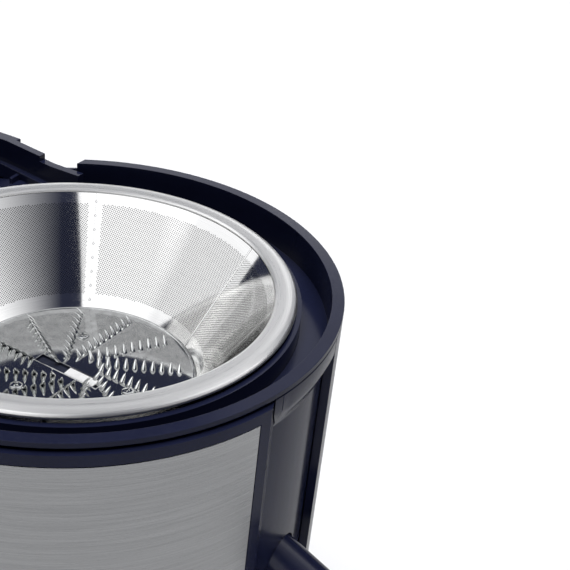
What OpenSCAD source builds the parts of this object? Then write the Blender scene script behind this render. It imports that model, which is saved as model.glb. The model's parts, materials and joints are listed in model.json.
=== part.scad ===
// Centrifugal juicer, lid off: motor base, juice bowl, spinning filter basket and pulp container.
// Front is -Y, the spout points to +X and the pulp container docks at -X. The floor is z = 0.

/* [Filter basket] */
// Outer radius of the basket's rim
rim_r = 75; // [74:0.5:75.5]
// Height of the rim's top above the floor
rim_z = 232; // [228:1:240]
// Radius of the grater disc
disc_r = 42.2; // [41:0.2:43]
// Drop from the rim's top to the disc's top
disc_drop = 38.5; // [37:0.5:39]
// Tooth rows on the grater disc
tooth_rows = 12; // [6:1:12]
// Teeth in each row
teeth_per_row = 9; // [3:1:9]

/* [Juice bowl] */
// Outer radius of the wall that catches the juice
collector_r = 76.6; // [76.4:0.1:77]
// Inner radius of the pulp channel's outer wall
channel_r = 86.3; // [86:0.1:86.5]
// Outer radius of the bowl's top ring
ring_r = 90.5; // [90:0.1:91]
// Depth of the bowl's floor below the rim
bowl_depth = 86; // [84:0.5:87]

/* [Housing] */
// Outer radius of the motor housing
body_r = 87.3; // [87:0.1:87.5]
// Outer radius of the steel front panel and its frame
panel_r = 92; // [91.5:0.1:93]
// Height of the rubber feet
foot_h = 4; // [3:0.5:5]
// Height of the speed knob's axis
knob_z = 78; // [70:1:90]

/* [Pulp side] */
// Reach of the pulp container from the rotor's axis
container_reach = 174; // [165:1:190]
// Half width inside the pulp chute
chute_half = 67.5; // [67:0.5:68]

/* [Hidden] */
$fn = 96;

// Shell thicknesses and gaps
wall = 2.5;
steel_t = 0.9;
gap = 0.4;
snug = 0.05;
bite = 0.2;
past = 1;

// Filter basket
lip_w = 7.9;
lip_foot = 1.5;
disc_screw_ring = 22;
disc_screw_r = 1.4;
slot_len = 28;
slot_w = 4.5;

// Heights above the floor
ring_top = rim_z + 1.8;
ring_under = rim_z;
notch_z = rim_z - 0.6;
collector_top = rim_z - 3.75;
channel_floor = rim_z - 11;
channel_under = channel_floor - 2;
ledge_z = rim_z - 9.5;
collar_under = rim_z - 14.3;
wall_top = rim_z - 14.5;
bowl_floor = rim_z - bowl_depth;
bowl_under = bowl_floor - wall;
deck_top = bowl_under - 3.5;
deck_under = deck_top - 3;
tower_top = rim_z - 71;
disc_top = rim_z - disc_drop;
disc_under = disc_top - 1;
hub_under = disc_under - 3;
boss_under = hub_under - 23.5;
plate_top = foot_h + 3;

// Plan angles of the shells, counterclockwise from +X
frame_from = -127;
frame_to = -11.1;
chamfer_turn = -60;
steel_from = -123;
steel_to = -17.5;
steel_low = foot_h + 14;
steel_high = ring_under - 5.2;
cover_from = 13;
cover_to = 127;

// Shaft, bearings and motor, from the base upwards
shaft_r = 4;
bearing_r = 11;
bearing_w = 7;
lower_bearing_z = foot_h + 14;
commutator_z = foot_h + 26;
core_z = foot_h + 52;
core_h = 40;
winding_h = 10;
fan_z = foot_h + 103.5;
upper_bearing_z = foot_h + 114;
core_r = 24;
air_gap = 0.6;
stator_w = 84;
stator_d = 70;
coil_y = 20.5;
tie_x = 37;
tie_y = 30;
commutator_r = 12;
brush_z = commutator_z + 7;
tower_r = 15.5;
seal_r = 13;
mount_x = 38;
mount_y = 41;
bush_r = 6.5;
bush_bore = 2.1;
mount_screw_r = 2;
tie_bore = 2.2;
shaft_top = rim_z - 52;
socket_r = 9;
hex_r = 8.7;

// Base, its screws and feet, and the cable's way in
base_screw_ring = 75;
base_screw_r = 1.7;
foot_ring = 70;
foot_peg = 3;
gland_z = foot_h + 20;
gland_r = 6;
cable_r = 3.6;

// Speed knob
spindle_r = 3;
spindle_hole = 3.4;
bezel_r = 24;

// Spout: starts at the bowl's wall and slopes down to +X
spout_tilt = 25;
spout_z = rim_z - 77;
spout_len = 46;
spout_r = 9.2;
spout_bore = 7.4;
pin_r = 1.5;
pin_up = 12.5;
pin_along = 40;

// Chute and container
chute_mouth = -112;
chute_wall = 3.4;
notch_x = [-68, -52.5];
floor_slope = 0.31;
container_half = chute_half + 7.8;
container_front = -86.6;
container_low = rim_z - 28;
dock_r = 92;
shelf_half = 60;

// Latches
latch_y = 95.5;
latch_z = rim_z - 9;
latch_half = 11.6;
latch_len = 35;
knuckle_r = 3;
ear_x = 13.4;
ear_half = 1.4;

// The rotor's axis, so that the box of the whole object is centred on the origin
handle_reach = 13;
spout_reach = 126.2;
knob_depth = 17;
knob_face = -panel_r - 1.4 - knob_depth;
axis_x = (container_reach + handle_reach - spout_reach) / 2;
axis_y = -(knob_face + latch_y + 6) / 2;

// Colours
navy = [0.07, 0.08, 0.13];
navy_light = [0.13, 0.15, 0.20];
steel = [0.72, 0.73, 0.74];
bright = [0.85, 0.86, 0.87];
iron = [0.45, 0.46, 0.48];
copper = [0.72, 0.38, 0.18];
rubber = [0.05, 0.05, 0.05];
board_green = [0.08, 0.32, 0.18];

module at_axis() { translate([axis_x, axis_y, 0]) children(); }

// A ring about the rotor's axis between two radii and two heights
module ring(r_in, r_out, z_low, z_high) {
    difference() {
        translate([0, 0, z_low]) cylinder(r = r_out, h = z_high - z_low);
        translate([0, 0, z_low - 1]) cylinder(r = r_in, h = z_high - z_low + 2);
    }
}

// Part of a ring, from one plan angle to another
module sector(r_in, r_out, z_low, z_high, from, to) {
    rotate([0, 0, from]) rotate_extrude(angle = to - from)
        translate([r_in, z_low]) square([r_out - r_in, z_high - z_low]);
}

// A cylinder along Y, centred on x, from y_low to y_high
module rod_y(r, x, z, y_low, y_high) {
    translate([x, y_high, z]) rotate([90, 0, 0]) cylinder(r = r, h = y_high - y_low);
}

module block(x, y, z) { translate([x[0], y[0], z[0]]) cube([x[1] - x[0], y[1] - y[0], z[1] - z[0]]); }

// Children repeated at the four corners of a rectangle
module corners(x, y) { for (sx = [-1, 1], sy = [-1, 1]) translate([sx * x, sy * y, 0]) children(); }

// ---- Filter basket ----

module basket_rim() color(steel) at_axis() {
    inner = rim_r - lip_w;
    rotate_extrude() translate([0, rim_z]) polygon([
        [inner, -lip_foot], [inner, -0.6], [inner + 0.6, 0], [rim_r - 1.2, 0],
        [rim_r - 0.3, -0.4], [rim_r, -1], [rim_r - 0.3, -1.6], [rim_r - 1.2, -1.9], [inner + 2, -1.9]]);
}

module sieve() color(bright) at_axis() {
    sheet = 0.7;
    top_r = rim_r - lip_w;
    foot_in = disc_r - 0.6;
    foot_low = -disc_drop - 0.6;
    rotate_extrude() translate([0, rim_z]) polygon([
        [top_r, -lip_foot], [top_r + sheet, -lip_foot - 0.4], [disc_r + sheet, foot_low],
        [foot_in, foot_low], [foot_in, -disc_drop], [disc_r, -disc_drop]]);
}

// One scoop tooth, a low wedge that rises from the disc
module tooth() {
    half = 1.4;
    width = 1.6;
    rotate([90, 0, 0]) translate([0, 0, -width / 2]) linear_extrude(width)
        polygon([[-half, -0.5], [half, -0.5], [half, 1.8]]);
}

module grater_disc() color(bright) at_axis() {
    first_row = 27;
    first_tooth = 10.5;
    row_pitch = 3.2;
    row_shift = 4.5;
    slot_row = 5;
    difference() {
        translate([0, 0, disc_under]) cylinder(r = disc_r - 0.6, h = disc_top - disc_under);
        rotate([0, 0, -3]) translate([-15.7, -4.2, disc_under - past]) cube([slot_len, slot_w, 3]);
        screw_spots() translate([0, 0, disc_under - past]) cylinder(r = disc_screw_r, h = 3);
    }
    for (row = [0 : tooth_rows - 1]) rotate([0, 0, first_row + row * 360 / tooth_rows])
        for (k = [row == slot_row ? 2 : 0 : teeth_per_row - 1])
            translate([first_tooth + k * row_pitch, row_shift, disc_top]) rotate([0, 0, 90]) tooth();
}

module screw_spots() {
    for (a = [1, 121, 241]) rotate([0, 0, a]) translate([disc_screw_ring, 0, 0]) children();
}

module grater_screws() color(bright) at_axis() {
    screw_spots() {
        translate([0, 0, disc_top]) cylinder(r = 2.5, h = 0.9);
        translate([0, 0, hub_under]) cylinder(r = disc_screw_r, h = disc_top - hub_under);
    }
}

module basket_hub() color(navy_light) at_axis() {
    difference() {
        union() {
            translate([0, 0, hub_under]) cylinder(r = disc_r - 2.2, h = disc_under - hub_under);
            translate([0, 0, boss_under]) cylinder(r = 14.5, h = hub_under - boss_under + bite);
            ring(20.2, 22.2, hub_under - 21.5, hub_under + bite);
        }
        translate([0, 0, boss_under - past]) cylinder(r = socket_r, h = 19, $fn = 6);
        screw_spots() translate([0, 0, hub_under - past]) cylinder(r = disc_screw_r, h = 6);
    }
}

// ---- Rotor ----

module motor_shaft() color(bright) at_axis()
    translate([0, 0, lower_bearing_z - 2]) cylinder(r = shaft_r, h = shaft_top - lower_bearing_z + 2);

module drive_coupling() color(navy_light) at_axis() {
    difference() {
        union() {
            translate([0, 0, tower_top + 1]) cylinder(r = 11, h = boss_under - gap - tower_top - 1);
            translate([0, 0, boss_under - gap - bite]) cylinder(r = hex_r, h = 16.4, $fn = 6);
        }
        translate([0, 0, tower_top]) cylinder(r = shaft_r, h = shaft_top - tower_top);
    }
}

module armature_core() color(iron) at_axis() {
    slots = 12;
    difference() {
        translate([0, 0, core_z]) cylinder(r = core_r, h = core_h);
        translate([0, 0, core_z - 1]) cylinder(r = shaft_r, h = core_h + 2);
        for (k = [0 : slots - 1]) rotate([0, 0, k * 360 / slots]) {
            translate([18.5, 0, core_z - 1]) cylinder(r = 2.6, h = core_h + 2);
            translate([18.5, -0.9, core_z - 1]) cube([7, 1.8, core_h + 2]);
        }
    }
}

module armature_windings() color(copper) at_axis() {
    for (z = [core_z - winding_h, core_z + core_h]) ring(shaft_r + 2.5, 20.5, z, z + winding_h);
}

module commutator() color(copper) at_axis() {
    bars = 24;
    difference() {
        ring(shaft_r, commutator_r, commutator_z, commutator_z + 14);
        for (k = [0 : bars - 1]) rotate([0, 0, k * 360 / bars])
            translate([commutator_r - 0.8, -0.25, commutator_z - 1]) cube([2, 0.5, 16]);
    }
}

module cooling_fan() color(navy_light) at_axis() {
    blades = 11;
    fan_r = 38;
    ring(shaft_r, 9, fan_z, fan_z + 8);
    ring(8.8, fan_r, fan_z, fan_z + 1.5);
    for (k = [0 : blades - 1]) rotate([0, 0, k * 360 / blades])
        translate([12, -0.8, fan_z + 1.3]) cube([fan_r - 12.5, 1.6, 6.2]);
}

// ---- Motor frame ----

module stator_core() color(iron) at_axis() {
    bore = core_r + air_gap;
    difference() {
        translate([-stator_w / 2, -stator_d / 2, core_z]) cube([stator_w, stator_d, core_h]);
        translate([0, 0, core_z - 1]) cylinder(r = bore, h = core_h + 2);
        for (sx = [-1, 1], sy = [-1, 1])
            block([sx * 24 - 8, sx * 24 + 8], [sy * coil_y - 6, sy * coil_y + 6],
                  [core_z - past, core_z + core_h + past]);
        corners(tie_x, tie_y) translate([0, 0, core_z - 1]) cylinder(r = tie_bore, h = core_h + 2);
    }
}

// One coil round each pole: two legs through the slots, joined above and below the core
module field_coils() color(copper) at_axis() {
    low = core_z - 8;
    high = core_z + core_h + 8;
    for (sx = [-1, 1]) {
        for (sy = [-1, 1]) block([sx * 27 - 4, sx * 27 + 4], [sy * coil_y - 5, sy * coil_y + 5], [low, high]);
        for (z = [low, high - 6]) block([sx * 27 - 4, sx * 27 + 4], [-16, 16], [z, z + 6]);
    }
}

// A bearing carrier: a plate on the tie screws with a cup in its middle
module bearing_bracket(z, cup_low, cup_high) {
    difference() {
        union() {
            translate([-stator_w / 2, -stator_d / 2, z]) cube([stator_w, stator_d, 3]);
            translate([0, 0, cup_low]) cylinder(r = bearing_r + 2.5, h = cup_high - cup_low);
        }
        for (sx = [-1, 1]) block([sx * 25 - 8, sx * 25 + 8], [-14, 14], [z - 1, z + 4]);
        for (sy = [-1, 1]) block([-20, 20], [sy * 25 - 6, sy * 25 + 6], [z - 1, z + 4]);
        corners(tie_x, tie_y) translate([0, 0, z - 1]) cylinder(r = tie_bore, h = 5);
    }
}

module lower_bracket() color(steel) at_axis() {
    z = lower_bearing_z - 3;
    difference() {
        union() {
            bearing_bracket(z, z, lower_bearing_z + bearing_w);
            for (sx = [-1, 1]) block([sx * 37.5 - 2.5, sx * 37.5 + 2.5], [-8, 8], [z + 2.8, brush_z + 8]);
        }
        translate([0, 0, lower_bearing_z]) cylinder(r = bearing_r, h = bearing_w + 1);
        translate([0, 0, z - 1]) cylinder(r = shaft_r + 2, h = 6);
    }
}

module upper_bracket() color(steel) at_axis() {
    z = upper_bearing_z;
    difference() {
        union() {
            bearing_bracket(z, z, z + bearing_w + 1.5);
            corners(mount_x, mount_y) translate([0, 0, z]) cylinder(r = 7, h = 3);
            for (sx = [-1, 1], sy = [-1, 1])
                block([sx * mount_x - 5, sx * mount_x + 5], [sy * 36 - 4, sy * 36 + 4], [z, z + 3]);
        }
        translate([0, 0, z - 1]) cylinder(r = bearing_r, h = bearing_w + 1);
        translate([0, 0, z]) cylinder(r = shaft_r + 2, h = 12);
        corners(mount_x, mount_y) translate([0, 0, z - 1]) cylinder(r = 3.2, h = 5);
        corners(tie_x, tie_y) translate([0, 0, z - 1]) cylinder(r = tie_bore, h = 5);
    }
}

// A ball bearing with its two rings, two shields and the groove between them
module bearing(z, bore) {
    difference() {
        ring(bore, bearing_r, z, z + bearing_w);
        ring(6.5, 8.7, z - 1, z + 0.4);
        ring(6.5, 8.7, z + bearing_w - 0.4, z + bearing_w + 1);
    }
}

module lower_bearing() color(bright) at_axis() bearing(lower_bearing_z, shaft_r + snug);

module upper_bearing() color(bright) at_axis() bearing(upper_bearing_z - 1, shaft_r + snug);

module brush_holders() color([0.75, 0.6, 0.25]) at_axis() {
    for (side = [0, 1]) mirror([side, 0, 0]) difference() {
        block([14, 35], [-4.6, 4.6], [brush_z - 4.6, brush_z + 4.6]);
        block([12, 33.5], [-3.2, 3.2], [brush_z - 3.2, brush_z + 3.2]);
    }
}

module carbon_brushes() color([0.12, 0.12, 0.12]) at_axis() {
    for (sx = [-1, 1]) intersection() {
        block([sx * 19.5 - 7.45, sx * 19.5 + 7.45], [-3.1, 3.1], [brush_z - 3.1, brush_z + 3.1]);
        ring(commutator_r + snug, 40, brush_z - 4, brush_z + 4);
    }
}

// A coil spring along +Z, as a tube swept along a helix
module coil_spring(coil_r, wire_r, length, turns) {
    sides = 8;
    steps = 14 * turns;
    points = [for (i = [0 : steps], k = [0 : sides - 1])
        let (turn = 360 * turns * i / steps, around = 360 * k / sides, r = coil_r + wire_r * cos(around))
        [r * cos(turn), r * sin(turn), length * i / steps + wire_r * sin(around)]];
    skin = [for (i = [0 : steps - 1], k = [0 : sides - 1]) let (a = i * sides, next = (k + 1) % sides)
        [a + k, a + next, a + sides + next, a + sides + k]];
    ends = [[for (k = [sides - 1 : -1 : 0]) k], [for (k = [0 : sides - 1]) steps * sides + k]];
    polyhedron(points, concat(skin, ends));
}

module brush_springs() color(bright) at_axis() {
    for (side = [0, 1]) mirror([side, 0, 0]) translate([27.6, 0, brush_z]) rotate([0, 90, 0])
        coil_spring(2.2, 0.45, 5.3, 4);
}

module motor_screws() color(steel) at_axis() {
    low = lower_bearing_z - 6;
    corners(tie_x, tie_y) {
        translate([0, 0, low]) cylinder(r = 2, h = upper_bearing_z + 6 - low);
        translate([0, 0, low]) cylinder(r = 3.8, h = 3);
        translate([0, 0, upper_bearing_z + 3]) cylinder(r = 3.6, h = 3, $fn = 6);
    }
}

module mount_bushes() color(rubber) at_axis() {
    corners(mount_x, mount_y) {
        ring(bush_bore, 3.2, upper_bearing_z - 1, upper_bearing_z + 4);
        ring(bush_bore, bush_r, upper_bearing_z + 3, deck_under - 6);
        ring(bush_bore, bush_r, upper_bearing_z - 2.5, upper_bearing_z);
    }
}

module mount_screws() color(steel) at_axis() {
    low = upper_bearing_z - 4.5;
    corners(mount_x, mount_y) {
        translate([0, 0, low]) cylinder(r = 4, h = 2);
        translate([0, 0, low]) cylinder(r = mount_screw_r, h = deck_under + 1 - low);
    }
}

// ---- Housing ----

// The space that the chute takes out of the housing's top
module chute_notch(low) {
    half = chute_half + chute_wall + 1;
    block([chute_mouth - 5, -48], [-half, half], [low, ring_top + 5]);
}

// Air slots, the same in the housing and in the cover over it
module air_slots() {
    for (a = [62 : 7 : 118]) rotate([0, 0, a]) block([75, 95], [-1.6, 1.6], [foot_h + 34, foot_h + 64]);
}

// The spout's own frame, whose +Z runs out along it from the bowl's wall
module spout_frame() {
    translate([collector_r - 0.6, 0, spout_z]) rotate([0, 90 + spout_tilt, 0]) children();
}

module motor_housing() color(navy) at_axis() {
    difference() {
        union() {
            ring(body_r - wall, body_r, foot_h + 0.6, wall_top);
            base_screw_spots() translate([0, 0, plate_top]) cylinder(r = 4.5, h = 16);
            for (a = [45, -45, 135, -135]) rotate([0, 0, a])
                block([73, body_r - wall + bite], [-1.5, 1.5], [plate_top, plate_top + 16]);
        }
        chute_notch(rim_z - 32);
        air_slots();
        base_screw_spots() translate([0, 0, plate_top - 1]) cylinder(r = base_screw_r, h = 14);
        spout_frame() translate([0, 0, -3]) cylinder(r = spout_r + 0.6, h = 30);
        rod_y(spindle_hole, 0, knob_z, -95, -80);
        rod_y(gland_r, 0, gland_z, 80, 95);
        block([-95, -60], [-shelf_half - gap, shelf_half + gap], [0, plate_top + gap]);
    }
}

// The floor over the motor, with a boss for each mounting screw
module motor_deck() color(navy_light) at_axis() {
    difference() {
        union() {
            ring(tower_r, body_r - wall, deck_under, deck_top);
            corners(mount_x, mount_y)
                translate([0, 0, deck_under - 6]) cylinder(r = bush_r - 0.5, h = 6 + bite);
        }
        corners(mount_x, mount_y) translate([0, 0, deck_under - 7]) cylinder(r = mount_screw_r, h = 8);
    }
}

// The tube that carries the shaft's seal above the bowl's floor
module shaft_tower() color(navy_light) at_axis() ring(seal_r, tower_r, deck_under, tower_top);

module base_screw_spots() {
    for (a = [45, -45, 135, -135]) rotate([0, 0, a]) translate([base_screw_ring, 0, 0]) children();
}

module rear_cover() color(navy) at_axis() {
    difference() {
        union() {
            sector(body_r + 0.3, ring_r, foot_h + 2, ring_under - 0.5, cover_from, cover_to);
            latch_ears(ring_r - 2, latch_y + 3);
        }
        air_slots();
        rod_y(gland_r, 0, gland_z, 80, 95);
        latch_pin_bores(latch_y);
        chute_notch(rim_z - 32);
    }
}

// The two ears that hold a latch's pin, from y_low to y_high
module latch_ears(y_low, y_high) {
    for (sx = [-1, 1])
        block([sx * ear_x - ear_half, sx * ear_x + ear_half], [y_low, y_high], [latch_z - 4, latch_z + 4]);
}

// Bores for a latch's pin, along X
module latch_pin_bores(y) { translate([-20, y, latch_z]) rotate([0, 90, 0]) cylinder(r = pin_r, h = 40); }

// What the chamfer takes off the frame's outer corner at its end
module frame_chamfer() {
    translate([body_r + 0.9, 0, 0]) rotate([0, 0, chamfer_turn]) block([-1, 12], [0, 9], [0, ring_top]);
}

module panel_frame() color(navy) at_axis() {
    difference() {
        union() {
            sector(body_r + 0.9, panel_r, foot_h + 6, ring_under - 1.2, frame_from, frame_to);
            latch_ears(-latch_y - 3, -panel_r + 2);
        }
        sector(panel_r - steel_t, panel_r + 1, steel_low, steel_high, steel_from, steel_to);
        rod_y(bezel_r, 0, knob_z, -panel_r - 5, -panel_r + 3);
        rod_y(spindle_hole, 0, knob_z, -95, -80);
        latch_pin_bores(-latch_y);
        rotate([0, 0, frame_to]) frame_chamfer();
        rotate([0, 0, frame_from]) mirror([0, 1, 0]) frame_chamfer();
    }
}

module front_panel() color(steel) at_axis() {
    difference() {
        sector(panel_r - steel_t, panel_r, steel_low + 0.3, steel_high - 0.3,
               steel_from + 0.2, steel_to - 0.2);
        rod_y(bezel_r + 0.3, 0, knob_z, -panel_r - 5, -60);
    }
}

// Collar that carries the bowl: an inner ledge all round, and the proud band where no other shell covers it
module collar() color(navy) at_axis() {
    difference() {
        union() {
            ring(84, body_r, wall_top, channel_under);
            rotate([0, 0, frame_to + 0.4]) rotate_extrude(angle = cover_from - frame_to - 0.8) polygon([
                [body_r - 1, wall_top], [body_r, collar_under], [ring_r, rim_z - 6],
                [ring_r, ring_under - 0.5],
                [body_r + 0.6, ring_under - 0.5], [body_r + 0.6, channel_under + 0.8],
                [body_r + 0.3, channel_under], [body_r - 1, channel_under]]);
        }
        chute_notch(rim_z - 32);
    }
}

module base_plate() color(navy_light) at_axis() {
    difference() {
        union() {
            translate([0, 0, foot_h]) cylinder(r = body_r - wall - gap, h = 3);
            block([-container_reach + 6, -60], [-shelf_half, shelf_half], [foot_h, plate_top]);
        }
        feet_spots() translate([0, 0, foot_h - 1]) cylinder(r = foot_peg, h = 5);
        base_screw_spots() translate([0, 0, foot_h - 1]) cylinder(r = base_screw_r + 0.1, h = 5);
        for (k = [-3 : 3]) block([k * 9 - 2, k * 9 + 2], [-26, 26], [foot_h - 1, plate_top + 1]);
    }
}

module feet_spots() {
    for (a = [15, -15, 90, -90]) rotate([0, 0, a]) translate([foot_ring, 0, 0]) children();
    for (sy = [-1, 1]) translate([-container_reach + 20, sy * 46, 0]) children();
}

module feet() color(rubber) at_axis() {
    feet_spots() {
        cylinder(r = 8, h = foot_h);
        cylinder(r = foot_peg, h = foot_h + 3);
    }
}

module base_screws() color(steel) at_axis() {
    base_screw_spots() {
        translate([0, 0, foot_h - 2]) cylinder(r = 3.5, h = 2);
        translate([0, 0, foot_h - 2]) cylinder(r = base_screw_r, h = 17);
    }
}

module cable_gland() color(rubber) at_axis() {
    difference() {
        union() {
            rod_y(gland_r, 0, gland_z, 80, 96);
            rod_y(gland_r + 3, 0, gland_z, ring_r, 94);
        }
        rod_y(cable_r, 0, gland_z, 90, 97);
        rod_y(cable_r + 0.6, 0, gland_z, 79, 91);
    }
}

module latch_pins() color(bright) at_axis() {
    half = ear_x + ear_half;
    for (y = [-latch_y, latch_y])
        translate([-half, y, latch_z]) rotate([0, 90, 0]) cylinder(r = pin_r, h = 2 * half);
}

// The rear latch, hanging open: a knuckle on the pin, a plate, and a hook at its end that points outwards
module latch() {
    low = latch_z - latch_len;
    difference() {
        union() {
            translate([-latch_half, latch_y, latch_z]) rotate([0, 90, 0])
                cylinder(r = knuckle_r, h = 2 * latch_half);
            block([-latch_half, latch_half], [latch_y - 1, latch_y + 1.5], [low, latch_z]);
            block([-latch_half, latch_half], [latch_y - 1, latch_y + 6], [low, low + 3]);
        }
        translate([-20, latch_y, latch_z]) rotate([0, 90, 0]) cylinder(r = pin_r + snug, h = 40);
    }
}

module front_latch() color(navy_light) at_axis() mirror([0, 1, 0]) latch();

module rear_latch() color(navy_light) at_axis() latch();

// ---- Juice bowl ----

// Plan of the chute, widened from its mouth's half width
module chute_plan(grow) {
    near = chute_half - 4 + grow;
    far = chute_half + grow;
    polygon([
        [-30, -near], [-30, near], [-62, near], [-88, far],
        [-130, far], [-130, -far], [-88, -far], [-62, -near]]);
}

// The chute's space seen from the side: its floor slopes down to the mouth
module chute_side(drop) {
    start = -collector_r;
    floor_at_mouth = channel_floor - drop - (start + 130) * floor_slope;
    translate([0, 90, 0]) rotate([90, 0, 0]) linear_extrude(180) polygon([
        [-30, channel_floor - drop], [start, channel_floor - drop], [-130, floor_at_mouth],
        [-130, ring_top + 8], [-30, ring_top + 8]]);
}

module chute_outside() {
    intersection() {
        translate([0, 0, rim_z - 40]) linear_extrude(ring_top - rim_z + 40) chute_plan(chute_wall);
        chute_side(2);
        block([chute_mouth, -48], [-90, 90], [0, ring_top]);
    }
}

module chute_space() {
    intersection() {
        translate([0, 0, rim_z - 60]) linear_extrude(80) chute_plan(0);
        chute_side(0);
    }
    intersection() {
        translate([0, 0, rim_z - 60]) linear_extrude(ledge_z - rim_z + 60) chute_plan(1.4);
        chute_side(0);
    }
}

// Top ring, pulp channel and chute, round the bowl's wall
module pulp_ring() color(navy) at_axis() {
    difference() {
        union() {
            ring(collector_r, channel_r + 1.2, channel_under, channel_floor);
            ring(channel_r, channel_r + 1.2, channel_under, ring_under + bite);
            ring(channel_r, ring_r, ring_under, ring_top);
            chute_outside();
        }
        chute_space();
        cylinder(r = collector_r, h = rim_z + 40);
        for (side = [0, 1]) mirror([0, side, 0]) block(notch_x, [50, 90], [notch_z, ring_top + 5]);
        translate([0, 0, notch_z]) cylinder(r = channel_r, h = ring_top);
    }
}

module juice_bowl() color(navy) at_axis() {
    difference() {
        union() {
            ring(collector_r - 2, collector_r, bowl_under, collector_top);
            ring(16, collector_r - 1, bowl_under, bowl_floor);
            ring(16, 18.2, bowl_under, rim_z - 56);
        }
        spout_frame() translate([0, 0, -8]) cylinder(r = spout_bore, h = 16);
    }
}

module bowl_seal() color(rubber) at_axis() ring(16.4, 21, deck_top, bowl_under);

module shaft_seal() color(rubber) at_axis() {
    difference() {
        ring(shaft_r + 2, seal_r, tower_top - 8, tower_top - 1);
        ring(shaft_r + 1, 9, tower_top - 9, tower_top - 4);
    }
    ring(shaft_r + snug, shaft_r + 2 + bite, tower_top - 2.5, tower_top - 1);
}

module spout_tube() color(navy) at_axis() {
    difference() {
        spout_frame() {
            translate([0, 0, -4]) cylinder(r = spout_r, h = spout_len + 4);
            translate([-pin_up - 2.5, -3, pin_along - 4]) cube([8, 6, 8]);
        }
        cylinder(r = collector_r, h = rim_z);
        spout_frame() {
            translate([0, 0, -8]) cylinder(r = spout_bore, h = spout_len + 20);
            translate([-pin_up, 10, pin_along]) rotate([90, 0, 0]) cylinder(r = pin_r, h = 20);
        }
    }
}

module drip_stop_pin() color(bright) at_axis() spout_frame()
    translate([-pin_up, 5.6, pin_along]) rotate([90, 0, 0]) cylinder(r = pin_r, h = 11.2);

// A flap that shuts the spout's mouth, with two ears on the pin
module drip_stop() color(navy_light) at_axis() spout_frame() {
    face = spout_len + gap;
    difference() {
        union() {
            translate([0, 0, face]) cylinder(r = spout_r + 0.4, h = 2);
            block([-pin_up - 2.5, -4], [-5.4, 5.4], [face, face + 2]);
            for (sy = [-1, 1])
                block([-pin_up - 2.5, -pin_up + 2.5], [sy * 4.4 - 1, sy * 4.4 + 1],
                      [pin_along - 3, face + 1]);
        }
        translate([-pin_up, 10, pin_along]) rotate([90, 0, 0]) cylinder(r = pin_r + snug, h = 20);
    }
}

// ---- Controls ----

module knob_bezel() color(navy_light) at_axis() {
    difference() {
        rod_y(bezel_r - 0.1, 0, knob_z, -panel_r - 1, -panel_r + 3);
        rod_y(spindle_hole, 0, knob_z, -panel_r - 2, -80);
    }
}

module speed_switch() color([0.2, 0.2, 0.22]) at_axis() {
    difference() {
        block([-12, 12], [-82, -64], [knob_z - 12, knob_z + 12]);
        rod_y(spindle_r + snug, 0, knob_z, -83, -70);
    }
    for (sx = [-1, 0, 1]) block([sx * 7 - 1.5, sx * 7 + 1.5], [-64.2, -57], [knob_z - 0.4, knob_z + 0.4]);
}

module knob_spindle() color(bright) at_axis() rod_y(spindle_r, 0, knob_z, knob_face + 5, -71);

module speed_knob() color(navy) at_axis() {
    knob_r = 21;
    difference() {
        union() {
            rod_y(knob_r, 0, knob_z, knob_face + 8, -panel_r - 1.4);
            block([-4, 4], [knob_face, knob_face + 9], [knob_z - knob_r + 2, knob_z + knob_r - 2]);
        }
        rod_y(spindle_r, 0, knob_z, knob_face + 5, -80);
        rod_y(knob_r - 3, 0, knob_z, -panel_r - 6, -80);
    }
    difference() {
        rod_y(6, 0, knob_z, knob_face + 7, -panel_r - 1.4);
        rod_y(spindle_r, 0, knob_z, knob_face + 5, -80);
    }
}

module control_board() color(board_green) at_axis() {
    block([-30, 30], [62, 63.6], [foot_h + 16, foot_h + 70]);
    block([-20, -2], [54, 62], [foot_h + 44, foot_h + 60]);
    for (k = [0 : 3]) block([k * 6 + 4, k * 6 + 8], [57, 62], [foot_h + 50, foot_h + 60]);
    for (sx = [-1, 1], z = [foot_h + 20, foot_h + 66]) rod_y(2.5, sx * 26, z, 63.4, 79);
}

module suppressor() color([0.85, 0.7, 0.2]) at_axis() block([4, 26], [52, 62], [foot_h + 22, foot_h + 40]);

module interlock_switch() color([0.2, 0.2, 0.22]) at_axis() {
    block([-10, 10], [77.8, 83.8], [wall_top - 22, wall_top - 6]);
    block([-6, -3], [79.8, 81.8], [wall_top - 6.2, wall_top - 4]);
}

// ---- Pulp container ----

// Plan of the container, shrunk on its three outer sides and cut off at the given front
module container_plan(shrink, front = container_front) {
    corner = 14 - shrink;
    far = -container_reach + shrink;
    side = container_half - shrink;
    union() {
        translate([far + corner, -side]) square([front - far - corner, 2 * side]);
        translate([far, -side + corner]) square([corner + 1, 2 * (side - corner)]);
        for (sy = [-1, 1]) translate([far + corner, sy * (side - corner)]) circle(r = corner);
    }
}

module pulp_container() color(navy) at_axis() {
    low = plate_top + gap;
    top = rim_z + 0.5;
    difference() {
        union() {
            translate([0, 0, low]) linear_extrude(top - low) container_plan(1.7);
            translate([0, 0, top - 3]) linear_extrude(3) container_plan(0);
        }
        translate([0, 0, low + wall]) linear_extrude(top - low) difference() {
            container_plan(3.7, container_front - wall);
            circle(r = dock_r + wall);
        }
        translate([0, 0, -1]) cylinder(r = dock_r, h = rim_z + 20);
        block([-104, -70], [-container_half + 3.7, container_half - 3.7], [container_low, rim_z + 20]);
    }
}

module container_handle() color(navy_light) at_axis() {
    z = rim_z - 60;
    near = -container_reach + 1.7;
    for (sy = [-1, 1]) block([near - handle_reach + 3, near], [sy * 32 - 3, sy * 32 + 3], [z - 7, z + 7]);
    block([near - handle_reach - 1.7, near - handle_reach + 3.2], [-38, 38], [z - 7, z + 7]);
}

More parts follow.
